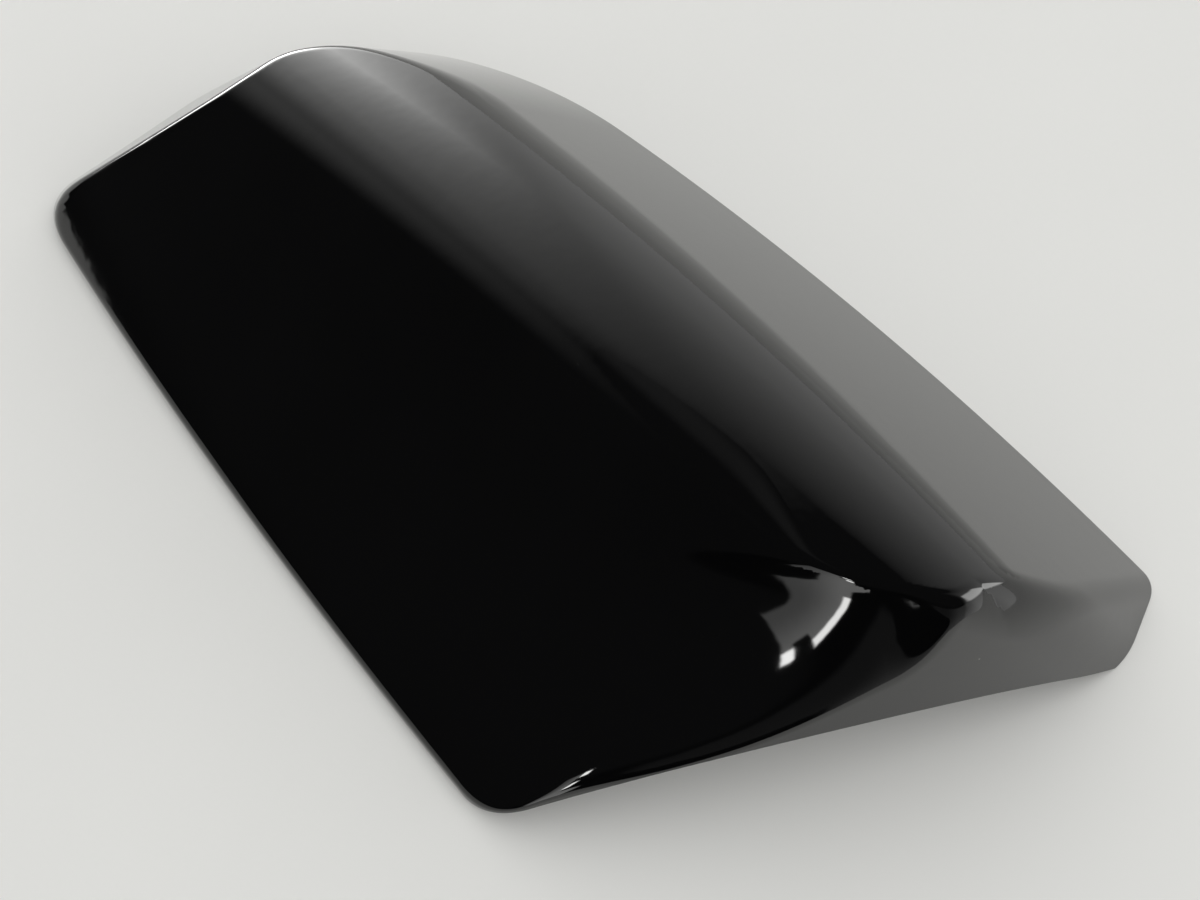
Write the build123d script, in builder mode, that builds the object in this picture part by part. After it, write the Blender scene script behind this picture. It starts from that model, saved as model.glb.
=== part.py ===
"""Wing mirror cover: a moulded shell with a rounded ridge, lying on its rim."""
import os
from math import acos, asin, atan, atan2, cos, degrees, radians, sin, sqrt, tan

from build123d import *

# Sizes are in millimetres and angles in degrees.
# X runs along the ridge to the inner end, Y to the rear rim and Z up from the rim.
wall = 2.6

# Ridge: its highest place, the long radius of its fall to the outer end, and its front rounding.
ridge_height = 56.3
ridge_top_x = 97.0
ridge_long_radius = 1560.0
ridge_y = -1.6
ridge_front_radius = 25.0

# Front face: its edge bows a little, and the face steepens from the ridge to a short upright lip.
front_edge_y = -65.3
front_edge_skew = -0.0791
front_edge_radius = 1555.0
lip_height = 3.0
front_slope_at_ridge = degrees(atan2(ridge_height - lip_height, ridge_y - front_edge_y))

# Rear band: it leans from the rim, and meets the rounded roof in a faint crease.
rear_edge_y = 68.6
rear_edge_top_x = 22.0
rear_edge_radius = 800.0
band_fullness = 1.291
band_slope = degrees(atan(band_fullness * ridge_height / (rear_edge_y - ridge_y)))
crease_turn = 4.0
roof_slope_at_crease = band_slope - crease_turn
roof_overrun = 3.5

# Outer end: the rim turns round in a chain of tangent arcs through these points.
shoulder_start_x = -45.0
shoulder_end = (-88.0, 53.0)
corner_end = (-117.0, 23.5)
outer_end = (-123.7, -8.0)
outer_skirt = (-121.0, -95.0)

# Inner end: a bowed wall with draft, a facet leaning in across the rear corner, and an arch in the rim.
inner_front = (63.7, -68.3)
inner_rear = (123.7, 43.5)
inner_radius = 272.0
inner_draft = 7.0
facet_end = (117.1, 62.1)
facet_lean = 25.0
arch_start = -4.0
arch_end = 125.0
arch_height = 22.5
arch_depth = 8.0

# Rounded edges: the radius of each, and a place that lies on it.
front_corner_radius = 11.0
front_corner_at = (63.7, -68.4, -1.5)
facet_edge_radius = 18.0
facet_edge_at = (114.9, 26.8, 26.1)
inner_crease_radius = 5.0
inner_crease_at = (78.4, -43.8, 27.5)
rear_corner_radius = 4.0
rear_corner_at = (111.9, 42.7, 21.5)

# Ribs across the inside, standing in from the wall and stopping short of the rim.
rib_x = (-62.0, -8.0, 46.0)
rib_thickness = 1.6
rib_height = 5.0
rib_foot = 9.0

# Snap hooks: upright tabs hanging inside the front and rear rims, each with a barb facing the rim.
hook_width = 11.0
hook_thickness = 2.2
hook_foot = 4.0
hook_inset = 21.0
barb_height = 5.0
barb_reach = 2.4
front_hook_x = (-78.0, -26.0, 26.0)
rear_hook_x = (-35.0, 19.0, 73.0)

# Locating pins: each hangs from a round boss under the ridge.
pin_x = (-44.0, 64.0)
pin_radius = 2.5
pin_length = 10.0
pin_foot = 14.0
boss_radius = 5.0

# Room round the cover for the solids that trim it.
reach = 70.0
inner_spare = 15.0
skirt = 6.0
section_x = (-140.0, -70.0, 0.0, 70.0, 140.0)


def front_edge(x):
    """Y of the front rim."""
    return front_edge_y + front_edge_skew * x + x * x / (2 * front_edge_radius)


def rear_edge(x):
    """Y of the rear rim, before it turns round the outer end."""
    return rear_edge_y - (x - rear_edge_top_x) ** 2 / (2 * rear_edge_radius)


def crest(x):
    """Z of the ridge."""
    return ridge_height - (x - ridge_top_x) ** 2 / (2 * ridge_long_radius)


def rear_radius(x):
    """Radius from the ridge to the rear crease, so that the roof meets the band there."""
    lean = tan(radians(band_slope))
    slope = radians(roof_slope_at_crease)
    width = rear_edge(x) - ridge_y
    return (lean * width - crest(x)) / (lean * sin(slope) - 1 + cos(slope))


def roof_outline(x, inset):
    """The closed section of the roof at a station, drawn in by an inset."""
    slope = radians(front_slope_at_ridge)
    outward = Vector(-sin(slope), cos(slope))
    front_centre = Vector(ridge_y, crest(x) - ridge_front_radius)
    face_top = front_centre + outward * ridge_front_radius
    chord = Vector(front_edge(x), lip_height) - face_top
    face_radius = -chord.dot(chord) / (2 * chord.dot(outward))
    face_centre = face_top - outward * face_radius
    toe = degrees(acos((-skirt - face_centre.Y) / (face_radius - inset)))
    radius = rear_radius(x)
    with BuildLine(Plane.XY) as outline:
        face = CenterArc(face_centre, face_radius - inset, 90 + toe, front_slope_at_ridge - toe)
        CenterArc(front_centre, ridge_front_radius - inset, 90 + front_slope_at_ridge, -front_slope_at_ridge)
        roof = CenterArc((ridge_y, crest(x) - radius), radius - inset, 90, -roof_slope_at_crease - roof_overrun)
        fall = (roof @ 1).Y + skirt
        back = Line(roof @ 1, (roof @ 1) + Vector(fall / tan(radians(front_slope_at_ridge)), -fall))
        Line(back @ 1, face @ 0)
    return outline.edges()


def band_outline():
    """The rim of the rear band and the outer end, open to the front and the inner end."""
    far_x = inner_rear[0] + reach
    with BuildLine(Plane.XY) as outline:
        rear = ThreePointArc(
            (far_x, rear_edge(far_x)),
            (rear_edge_top_x, rear_edge_y),
            (shoulder_start_x, rear_edge(shoulder_start_x)),
        )
        shoulder = TangentArc(rear @ 1, shoulder_end, tangent=rear % 1)
        corner = TangentArc(shoulder @ 1, corner_end, tangent=shoulder % 1)
        end = TangentArc(corner @ 1, outer_end, tangent=corner % 1)
        skirt_end = TangentArc(end @ 1, outer_skirt, tangent=end % 1)
        Line(skirt_end @ 1, (far_x, outer_skirt[1]))
        Line((far_x, outer_skirt[1]), rear @ 0)
    return outline.edges()


def front_outline(inset):
    """The rim of the front edge, open to every other side."""
    near_x = outer_end[0] - reach
    far_x = inner_rear[0] + reach
    far_y = rear_edge_y + reach
    with BuildLine(Plane.XY) as outline:
        front = ThreePointArc(
            (near_x, front_edge(near_x) + inset),
            (0, front_edge_y + inset),
            (far_x, front_edge(far_x) + inset),
        )
        Polyline(front @ 1, (far_x, far_y), (near_x, far_y), front @ 0)
    return outline.edges()


def inner_outline(shift):
    """The bowed rim of the inner end, open to the front, the rear and the outer end, moved by a shift."""
    near_x = outer_end[0] - reach
    start = Vector(*inner_front) + shift
    chord = Vector(*inner_rear) - Vector(*inner_front)
    turn = degrees(asin(chord.length / (2 * inner_radius))) + inner_spare
    facing = degrees(atan2(-chord.X, chord.Y))
    outward = Vector(chord.Y, -chord.X).normalized()
    depth = sqrt(inner_radius ** 2 - (chord.length / 2) ** 2)
    with BuildLine(Plane.XY) as outline:
        inner = CenterArc(start + chord / 2 - outward * depth, inner_radius, facing - turn, 2 * turn)
        Polyline(inner @ 1, (near_x, (inner @ 1).Y), (near_x, (inner @ 0).Y), inner @ 0)
    return outline.edges()


def facet_plane():
    """The plane of the rear corner's facet, facing out."""
    along = Vector(*facet_end) - Vector(*inner_rear)
    outward = Vector(along.Y, -along.X).normalized()
    normal = outward * cos(radians(facet_lean)) + Vector(0, 0, sin(radians(facet_lean)))
    return Plane(origin=(*inner_rear, 0), x_dir=along, z_dir=normal)


def edge_at(block, place):
    """The edge of a block that lies nearest to a place."""
    return block.edges().sort_by_distance(place)[0]


def form(inset):
    """The cover's outer form as a solid block, drawn in all round by an inset."""
    band_lean = radians(90 - band_slope)
    draft = radians(inner_draft)
    chord = Vector(*inner_rear) - Vector(*inner_front)
    inward = Vector(-chord.Y, chord.X).normalized() * tan(draft)
    height = skirt + reach
    foot = Plane.XY.offset(-skirt)
    with BuildPart() as block:
        for x in section_x:
            with BuildSketch(Plane.YZ.offset(x)):
                make_face(roof_outline(x, inset))
        loft()
        with BuildSketch(foot):
            make_face(band_outline())
            offset(amount=skirt * tan(band_lean) - inset / cos(band_lean), kind=Kind.INTERSECTION)
        extrude(amount=height, taper=degrees(band_lean), mode=Mode.INTERSECT)
        with BuildSketch(foot):
            make_face(front_outline(inset))
        extrude(amount=height, mode=Mode.INTERSECT)
        with BuildSketch(foot):
            make_face(inner_outline(inward * -skirt))
            offset(amount=-inset / cos(draft), kind=Kind.INTERSECTION)
        extrude(amount=height / cos(draft), dir=inward + Vector(0, 0, 1), mode=Mode.INTERSECT)
        split(bisect_by=facet_plane().offset(-inset), keep=Keep.BOTTOM)
    return block.part


def rounded_form(inset):
    """The form with its front corner and the edge of its facet rounded."""
    with BuildPart() as block:
        add(form(inset))
        fillet(edge_at(block, front_corner_at), radius=front_corner_radius - inset)
        fillet(edge_at(block, facet_edge_at), radius=facet_edge_radius - inset)
    return block.part


def arch_plane():
    """The upright plane along the chord of the inner end, facing out."""
    chord = Vector(*inner_rear) - Vector(*inner_front)
    return Plane(origin=(*inner_front, 0), x_dir=chord, z_dir=Vector(chord.Y, -chord.X))


def arch_outline():
    """The arch in the rim of the inner end, with its feet on the rim."""
    middle = (arch_start + arch_end) / 2
    with BuildLine(Plane.XY) as outline:
        arch = ThreePointArc((arch_start, 0), (middle, arch_height), (arch_end, 0))
        Line(arch @ 1, arch @ 0)
    return outline.edges()


def hook_outline(side):
    """The section of a hook across the rim, its barb facing to a side of -1 or 1."""
    half = hook_thickness / 2
    with BuildLine(Plane.XY) as outline:
        Polyline(
            (-side * half, hook_foot),
            (side * half, hook_foot),
            (side * (half + barb_reach), hook_foot + barb_height),
            (side * half, hook_foot + barb_height),
            (side * half, reach),
            (-side * half, reach),
            close=True,
        )
    return outline.edges()


with BuildPart() as fittings:
    for x in rib_x:
        with BuildSketch(Plane.YZ.offset(x)):
            with Locations((0, rib_foot + reach / 2)):
                Rectangle(2 * reach, reach)
        extrude(amount=rib_thickness / 2, both=True)
    add(form(wall + rib_height), mode=Mode.SUBTRACT)
    for x in front_hook_x:
        with BuildSketch(Plane(origin=(x, front_edge(x) + hook_inset, 0), x_dir=(0, 1, 0), z_dir=(1, 0, 0))):
            make_face(hook_outline(-1))
        extrude(amount=hook_width / 2, both=True)
    for x in rear_hook_x:
        with BuildSketch(Plane(origin=(x, rear_edge(x) - hook_inset, 0), x_dir=(0, 1, 0), z_dir=(1, 0, 0))):
            make_face(hook_outline(1))
        extrude(amount=hook_width / 2, both=True)
    for x in pin_x:
        with BuildSketch(Plane(origin=(x, ridge_y, pin_foot))):
            Circle(pin_radius)
        extrude(amount=pin_length)
        with BuildSketch(Plane(origin=(x, ridge_y, pin_foot + pin_length))):
            Circle(boss_radius)
        extrude(amount=reach - pin_foot - pin_length)
    add(rounded_form(wall / 2), mode=Mode.INTERSECT)

with BuildPart() as mirror_cover:
    add(rounded_form(0))
    fillet(edge_at(mirror_cover, inner_crease_at), radius=inner_crease_radius)
    fillet(edge_at(mirror_cover, rear_corner_at), radius=rear_corner_radius)
    add(rounded_form(wall), mode=Mode.SUBTRACT)
    split(bisect_by=Plane.XY, keep=Keep.TOP)
    with BuildSketch(arch_plane()):
        make_face(arch_outline())
    extrude(amount=arch_depth, both=True, mode=Mode.SUBTRACT)
    add(fittings.part)
mirror_cover.part.label = "mirror_cover"

os.makedirs("parts", exist_ok=True)
export_step(mirror_cover.part, "parts/mirror_cover.step")
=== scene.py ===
"""Dresses the wing mirror cover: a gloss black skin, ribs, hooks and pins inside it, and a pale table."""
from math import atan, atan2, cos, pi, radians, sin, tan

import bpy
import numpy as np
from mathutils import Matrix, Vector


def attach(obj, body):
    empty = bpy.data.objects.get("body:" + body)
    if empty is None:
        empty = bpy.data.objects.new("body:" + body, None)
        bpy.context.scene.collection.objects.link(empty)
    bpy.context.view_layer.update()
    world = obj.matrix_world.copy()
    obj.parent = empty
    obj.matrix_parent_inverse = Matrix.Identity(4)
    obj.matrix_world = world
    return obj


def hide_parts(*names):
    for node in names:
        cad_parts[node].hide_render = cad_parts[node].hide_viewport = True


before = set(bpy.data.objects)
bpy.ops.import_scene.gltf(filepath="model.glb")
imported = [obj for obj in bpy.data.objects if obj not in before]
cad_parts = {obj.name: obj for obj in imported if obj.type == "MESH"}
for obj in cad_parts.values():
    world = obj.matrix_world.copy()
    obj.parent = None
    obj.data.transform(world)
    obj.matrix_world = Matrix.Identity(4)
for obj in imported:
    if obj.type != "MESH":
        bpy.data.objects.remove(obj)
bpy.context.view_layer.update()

bl_info = {
    "name": "Wing Mirror Cover",
    "version": (1, 0, 0),
    "blender": (4, 5, 0),
    "location": "View3D > Sidebar > Mirror Cover",
    "description": "Builds a gloss black wing mirror cover with its fittings, and a table to show it on",
    "category": "Object",
}

MM = 0.001

# The cover's form in millimetres: the ridge, the front rim, the rear band and the two ends.
RIDGE_TOP_X = 97.0
RIDGE_LONG_RADIUS = 1560.0
RIDGE_Y = -1.6
RIDGE_FRONT_RADIUS = 25.0
FRONT_EDGE_Y = -65.3
FRONT_EDGE_SKEW = -0.0791
FRONT_EDGE_RADIUS = 1555.0
LIP_HEIGHT = 3.0
REAR_EDGE_Y = 68.6
REAR_EDGE_TOP_X = 22.0
REAR_EDGE_RADIUS = 800.0
BAND_FULLNESS = 1.291
CREASE_TURN = radians(4.0)
BAND_OVERRUN = 70.0
RIM_START_X = -45.0
RIM_TURNS = ((-88.0, 53.0), (-117.0, 23.5), (-123.7, -8.0), (-121.0, -95.0))
INNER_FRONT = np.array((63.7, -68.3))
INNER_REAR = np.array((123.7, 43.5))
INNER_RADIUS = 272.0
INNER_DRAFT = radians(7.0)
FACET_END = np.array((117.1, 62.1))
FACET_LEAN = radians(25.0)
ARCH_START = -4.0
ARCH_END = 125.0
ARCH_HEIGHT = 22.5
ARCH_DEPTH = 8.0

# Roundings that change along the cover, each between a pair of places, from one level to another.
# The cheek is where the front face turns into the inner end. Its rounding grows along a slanting way and
# with height, and falls off again towards the ridge.
CHEEK_WAY = np.array((0.691, 0.697, 0.190))
CHEEK_RUN = (-3.4, 33.0)
CHEEK_ROUND = (5.5, 56.8)
CHEEK_END = (36.0, 71.6)
CHEEK_LOSS = (0.0, 23.8)
CHEEK_FOOT = (9.7, 46.0)
CHEEK_SHARE = (0.12, 1.0)
CHEEK_TOP = (70.0, 91.0)
CHEEK_LAST = (1.0, 0.3)
RIDGE_FADE_X = (56.0, 86.0)
PLAN_FADE_Y = (-30.0, 20.0)
HALVES_X = (-30.0, 30.0)

# Edges: their greatest widths, how two kinds run together, and the most that half a turn counts.
WIDE, NARROW = 40.0, 11.0
EDGE_BLEND = 2.5
MOST_HALF_TURN = 1.2

# Places of the fittings inside, in millimetres, and a barb's tip as a share of its hook's thickness.
RIB_X = (-62.0, -8.0, 46.0)
FRONT_HOOK_X = (-78.0, -26.0, 26.0)
REAR_HOOK_X = (-35.0, 19.0, 73.0)
HOOK_INSET = 21.0
BARB_TIP = 0.55
PIN_X = (-44.0, 64.0)

# The mesh: the ridge's two poles, how many stations and points it has, and how its points are found.
OUTER_POLE_X = -62.0
INNER_POLE_X = 50.0
RIDGE_STATIONS = 70
OUTER_STATIONS = 130
INNER_STATIONS = 270
OUTER_POINTS = 100
INNER_POINTS = 34
PROFILE_SAMPLES = 260
POLE_SAMPLES = 1200
TURN_WEIGHT = 7.0
FAR_INSIDE = -1000.0
RAY_LENGTH = 220.0
RAY_HALVINGS = 30
FACING_STEP = 0.02
RIB_SAMPLES = 240
RIB_POINTS = 120
RIB_MARGIN = 3.0
POST_SIDES = 48

# The stage: the table in metres, the lamp, and the camera's places and lens in millimetres.
TABLE_REACH = 4.0
TABLE_NEAR = 0.115
TABLE_ALONG = Vector((0.677, 0.736, 0))
TABLE_AWAY = Vector((-0.736, 0.677, 0))
LAMP_WAY = Vector((-0.5, 0.6, 1.0))
LAMP_STRENGTH = 0.12
LAMP_SPREAD = radians(70)
CAMERA_PLACE = Vector((135.0, -107.1, 277.1))
CAMERA_TARGET = Vector((17.2, 1.2, 0.0))
CAMERA_LENS = 45.0
CAMERA_SENSOR = 36.0
CAMERA_NEAREST = 10.0

# The plastic's gloss and grain, and the dust on it.
PLASTIC_IOR = 1.5
DUST_COLOUR = (0.16, 0.16, 0.15, 1)
DUST_SIZE = (0.018, 0.032)
DUST_PATCHES = (0.60, 0.66)
CLOUD_RANGE = (0.3, 0.7)
FLOW_ROUGHNESS, DUST_ROUGHNESS = 0.02, 0.4
SATIN_ROUGHNESS, GRAIN_ROUGHNESS, CLOUD_ROUGHNESS = 0.38, 0.16, 0.08

# Colour and brightness of the room, where 1 is white. The dome leans towards x, y and z.
ROOM_COLOUR = (1.0, 1.0, 0.985, 1)
BACKGROUND_LIGHT = 0.76
DOME_LIGHT = 0.77
DOME_LEAN = (0.2, 0.25, 0.2)
HAZE_LIGHT = 0.03
WINDOW_LIGHT = 8.0
SILL_LIGHT = 14.0
PANEL_LIGHT, PANEL_GAIN = 0.9, 1.2
TUBE_LIGHT, UPPER_TUBE_LIGHT = 15.0, 18.0
SMALL_LAMP_LIGHT = 4.5
FLOOR_LIGHT, FLOOR_GAIN = 0.08, 0.25

# The room's wall and window: heights as the sine of the tilt, and bearings in radians from the outer end.
HAZE_STARTS = (-0.05, 0.1)
WALL_WAY = (-0.3, 0.9)
WALL_STARTS = (-0.2, 0.1)
WALL_TOP, WALL_FADE, WALL_POWER = 0.87, 0.57, 0.6
WINDOW_TOP, WINDOW_FALL = 0.36, 0.00037
WINDOW_STARTS, WINDOW_STOPS = (-0.15, 0.25), (0.4, 0.95)
SILL_STARTS, SILL_STOPS = (-0.4, -0.2), (0.45, 0.6)
SILL_HEIGHTS, SILL_SOFT = (-0.1, 0.25), 0.08

# The room's panel, tubes, small lamp and floor: degrees round from x and up from level.
DEGREES = 180 / pi
PANEL_LEFT, PANEL_RIGHT = -77, -60.5
PANEL_LEFT_STEP, PANEL_LEFT_TILTS = 6, (-14, -11)
PANEL_RIGHT_STEP, PANEL_RIGHT_TILTS = 9, (-16, -11)
PANEL_TILTS, PANEL_SOFT, PANEL_LEFT_SOFT = (-30, 9.5), 0.7, 0.5
PANEL_GAIN_TURNS = (-76, -63)
TUBE_TURNS, TUBE_TILTS, TUBE_SOFT = (-63.2, -60.2), (-7, 0.3), 0.6
UPPER_TUBE_TURNS, UPPER_TUBE_TILTS, UPPER_TUBE_SOFT = (-64.8, -61), (6.3, 10), 0.5
GAP_TURNS, GAP_TILTS, GAP_SIDE_SOFT, GAP_SOFT = (-66, -58), (0.3, 6.3), 0.6, 0.5
SMALL_LAMP_TURNS, SMALL_LAMP_TILTS, SMALL_LAMP_SOFT = (17, 56), (0, 30), (3, 4)
FLOOR_SLANT, FLOOR_EDGE, FLOOR_SOFT = 0.9, 53, 1.5
FLOOR_STEP, FLOOR_STEP_TURNS = 14, (-26, -8)
FLOOR_TOP, FLOOR_STARTS, FLOOR_STOPS = (-6, 0), (-46, -40), (30, 60)
FLOOR_GAIN_TURNS = (-30, 0)


class CoverSizes(bpy.types.PropertyGroup):
    """Sizes of the cover that a maker would change."""
    ridge_height: bpy.props.FloatProperty(
        name="Ridge height", description="Height of the ridge above the rim", default=0.0563, unit="LENGTH")
    wall: bpy.props.FloatProperty(
        name="Wall", description="Thickness of the moulded wall", default=0.0026, unit="LENGTH")
    crease_round: bpy.props.FloatProperty(
        name="Crease radius", description="Rounding of the crease above the rear band", default=0.045,
        unit="LENGTH")
    crease_width: bpy.props.FloatProperty(
        name="Crease width", description="Widest softening of the creases and the front lip",
        default=0.00085, unit="LENGTH")
    outer_corner: bpy.props.FloatProperty(
        name="Outer corner", description="Rounding of the rim at the front of the outer end", default=0.009,
        unit="LENGTH")
    front_corner: bpy.props.FloatProperty(
        name="Front corner", description="Rounding of the rim at the front of the inner end", default=0.016,
        unit="LENGTH")
    rear_corner: bpy.props.FloatProperty(
        name="Rear corner", description="Rounding of the rim at the rear of the inner end", default=0.006,
        unit="LENGTH")
    inner_crease: bpy.props.FloatProperty(
        name="Inner crease", description="Rounding of the crease over the inner end", default=0.004,
        unit="LENGTH")
    facet_round: bpy.props.FloatProperty(
        name="Facet edge", description="Rounding between the inner end and the facet at its rear corner",
        default=0.02, unit="LENGTH")
    rim_bevel: bpy.props.FloatProperty(
        name="Rim bevel", description="Size of the small bevel on the rim's edges", default=0.0004,
        unit="LENGTH")


class FittingSizes(bpy.types.PropertyGroup):
    """Sizes of the ribs, hooks and pins inside the cover."""
    rib_thickness: bpy.props.FloatProperty(
        name="Rib thickness", description="Thickness of each rib", default=0.0016, unit="LENGTH")
    rib_height: bpy.props.FloatProperty(
        name="Rib height", description="How far a rib stands in from the wall", default=0.005,
        unit="LENGTH")
    rib_foot: bpy.props.FloatProperty(
        name="Rib foot", description="Height at which a rib stops short of the rim", default=0.009,
        unit="LENGTH")
    hook_width: bpy.props.FloatProperty(
        name="Hook width", description="Width of each hook along the rim", default=0.011, unit="LENGTH")
    hook_thickness: bpy.props.FloatProperty(
        name="Hook thickness", description="Thickness of each hook", default=0.0022, unit="LENGTH")
    hook_foot: bpy.props.FloatProperty(
        name="Hook foot", description="Height of the hooks' tips above the rim", default=0.004,
        unit="LENGTH")
    barb_height: bpy.props.FloatProperty(
        name="Barb height", description="Height of a hook's barb", default=0.005, unit="LENGTH")
    barb_reach: bpy.props.FloatProperty(
        name="Barb reach", description="How far a barb stands out", default=0.0024, unit="LENGTH")
    pin_radius: bpy.props.FloatProperty(
        name="Pin radius", description="Radius of each locating pin", default=0.0025, unit="LENGTH")
    pin_length: bpy.props.FloatProperty(
        name="Pin length", description="Length of each locating pin", default=0.010, unit="LENGTH")
    pin_foot: bpy.props.FloatProperty(
        name="Pin foot", description="Height of the pins' tips above the rim", default=0.014, unit="LENGTH")
    boss_radius: bpy.props.FloatProperty(
        name="Boss radius", description="Radius of the boss that carries a pin", default=0.005,
        unit="LENGTH")


class CoverFinish(bpy.types.PropertyGroup):
    """Colours and gloss of the cover and the table."""
    gloss_colour: bpy.props.FloatVectorProperty(
        name="Gloss black", description="Colour of the outside", subtype="COLOR", size=3,
        default=(0.0020, 0.0020, 0.0022))
    satin_colour: bpy.props.FloatVectorProperty(
        name="Satin black", description="Colour of the moulded inside", subtype="COLOR", size=3,
        default=(0.012, 0.012, 0.013))
    gloss_roughness: bpy.props.FloatProperty(
        name="Gloss roughness", description="Roughness of the outside", default=0.035, min=0, max=1,
        subtype="FACTOR")
    table_colour: bpy.props.FloatVectorProperty(
        name="Table", description="Colour of the pale table", subtype="COLOR", size=3,
        default=(0.80, 0.80, 0.785))
    backdrop: bpy.props.FloatProperty(
        name="Backdrop", description="Brightness of the pale wall that the gloss mirrors", default=0.95,
        min=0, max=1)


# The form, as distances outside its surfaces.


def ridge_height():
    """Highest point of the ridge."""
    return bpy.context.scene.cover_sizes.ridge_height / MM


def front_edge(x):
    """Y of the front rim."""
    return FRONT_EDGE_Y + FRONT_EDGE_SKEW * x + x * x / (2 * FRONT_EDGE_RADIUS)


def rear_edge(x):
    """Y of the rear rim, before it turns round the outer end."""
    return REAR_EDGE_Y - (x - REAR_EDGE_TOP_X) ** 2 / (2 * REAR_EDGE_RADIUS)


def crest(x):
    """Z of the ridge."""
    return ridge_height() - (x - RIDGE_TOP_X) ** 2 / (2 * RIDGE_LONG_RADIUS)


def band_slope():
    """Slope of the rear band and the outer end."""
    return atan(BAND_FULLNESS * ridge_height() / (REAR_EDGE_Y - RIDGE_Y))


def unit(v):
    """Vectors of length one."""
    return v / np.maximum(np.linalg.norm(v, axis=-1, keepdims=True), 1e-9)


def roof(p):
    """Distance outside the front face and outside the rear of the roof, each with the way out."""
    x, section = p[:, 0], p[:, 1:]
    top = crest(x)
    slope = atan2(ridge_height() - LIP_HEIGHT, RIDGE_Y - FRONT_EDGE_Y)
    outward = np.array((-sin(slope), cos(slope)))
    ridge_centre = np.stack((np.full_like(x, RIDGE_Y), top - RIDGE_FRONT_RADIUS), axis=1)
    face_top = ridge_centre + outward * RIDGE_FRONT_RADIUS
    chord = np.stack((front_edge(x), np.full_like(x, LIP_HEIGHT)), axis=1) - face_top
    face_radius = -(chord ** 2).sum(1) / (2 * chord @ outward)
    from_face = section - face_top + outward * face_radius[:, None]
    face = np.linalg.norm(from_face, axis=1) - face_radius

    lean = tan(band_slope())
    turn = band_slope() - CREASE_TURN
    rear_radius = (lean * (rear_edge(x) - RIDGE_Y) - top) / (lean * sin(turn) - 1 + cos(turn))
    from_rear = section - np.stack((np.full_like(x, RIDGE_Y), top - rear_radius), axis=1)
    bearing = np.clip(np.arctan2(from_rear[:, 0], from_rear[:, 1]), 0, turn)
    rear_way = np.stack((np.sin(bearing), np.cos(bearing)), axis=1)
    rear = (from_rear * rear_way).sum(1) - rear_radius
    level = np.zeros(len(p))
    return (face, np.column_stack((level, unit(from_face)))), (rear, np.column_stack((level, rear_way)))


def arc_through(start, end, tangent):
    """Centre and radius of the arc that leaves a point along a tangent and ends at another."""
    side = np.array((-tangent[1], tangent[0]))
    run = end - start
    radius = run @ run / (2 * run @ side)
    return start + side * radius, radius


def tangent_at(point, centre, radius):
    """Direction of an arc at one of its points."""
    reach = point - centre
    return np.array((-reach[1], reach[0])) / radius


def rim_arcs():
    """Centre, radius, start and end of each arc of the rear rim and the outer end."""
    points = [np.array(v) for v in ((RIM_START_X, rear_edge(RIM_START_X)), *RIM_TURNS)]
    far_x = INNER_REAR[0] + BAND_OVERRUN
    far = np.array((far_x, rear_edge(far_x)))
    top = np.array((REAR_EDGE_TOP_X, REAR_EDGE_Y))
    middle = np.array([far - top, points[0] - top])
    offset = np.linalg.solve(2 * middle, (middle ** 2).sum(1))
    radius = np.linalg.norm(offset)
    centre = top + offset
    arcs = [(centre, radius, far, points[0])]
    tangent = tangent_at(points[0], centre, radius)
    for start, end in zip(points, points[1:]):
        centre, radius = arc_through(start, end, tangent)
        arcs.append((centre, radius, start, end))
        tangent = tangent_at(end, centre, radius)
    return arcs


def band(p):
    """Distance outside the leaning rear band and outer end, and the way out."""
    best = np.full(len(p), FAR_INSIDE)
    out = np.zeros((len(p), 2))
    for centre, radius, start, end in rim_arcs():
        bend = np.sign(radius)
        from_centre = p[:, :2] - centre
        bearing = np.arctan2(from_centre[:, 1], from_centre[:, 0])
        first = atan2(*(start - centre)[::-1])
        sweep = (bend * (atan2(*(end - centre)[::-1]) - first)) % (2 * pi)
        within = (bend * (bearing - first)) % (2 * pi) <= sweep
        gap = bend * np.linalg.norm(from_centre, axis=1) - radius
        nearer = within & (np.abs(gap) < np.abs(best))
        best = np.where(nearer, gap, best)
        out = np.where(nearer[:, None], bend * unit(from_centre), out)
    slope = band_slope()
    way = np.column_stack((out * sin(slope), np.full(len(p), cos(slope))))
    return best * sin(slope) + p[:, 2] * cos(slope), way


def front_lip(p):
    """Distance outside the upright front lip, and the way out."""
    skew = FRONT_EDGE_SKEW + p[:, 0] / FRONT_EDGE_RADIUS
    length = np.sqrt(1 + skew ** 2)
    way = np.column_stack((skew / length, -1 / length, np.zeros(len(p))))
    return (front_edge(p[:, 0]) - p[:, 1]) / length, way


def inner_chord():
    """Direction along the inner end's chord, the way out of it, and the chord's length."""
    chord = INNER_REAR - INNER_FRONT
    length = np.linalg.norm(chord)
    along = chord / length
    return along, np.array((along[1], -along[0])), length


def inner_wall(p):
    """Distance outside the bowed inner end, and the way out."""
    _, outward, length = inner_chord()
    depth = np.sqrt(INNER_RADIUS ** 2 - length ** 2 / 4)
    centre = (INNER_FRONT + INNER_REAR) / 2 - outward * depth
    from_centre = p[:, :2] - centre + np.outer(p[:, 2], outward) * tan(INNER_DRAFT)
    gap = np.linalg.norm(from_centre, axis=1) - INNER_RADIUS
    way = np.column_stack((unit(from_centre) * cos(INNER_DRAFT), np.full(len(p), sin(INNER_DRAFT))))
    return gap * cos(INNER_DRAFT), way


def facet(p):
    """Distance outside the facet across the rear corner of the inner end, and the way out."""
    along = unit(FACET_END - INNER_REAR)
    way = np.array((along[1] * cos(FACET_LEAN), -along[0] * cos(FACET_LEAN), sin(FACET_LEAN)))
    return (p - np.append(INNER_REAR, 0)) @ way, np.broadcast_to(way, p.shape)


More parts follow.
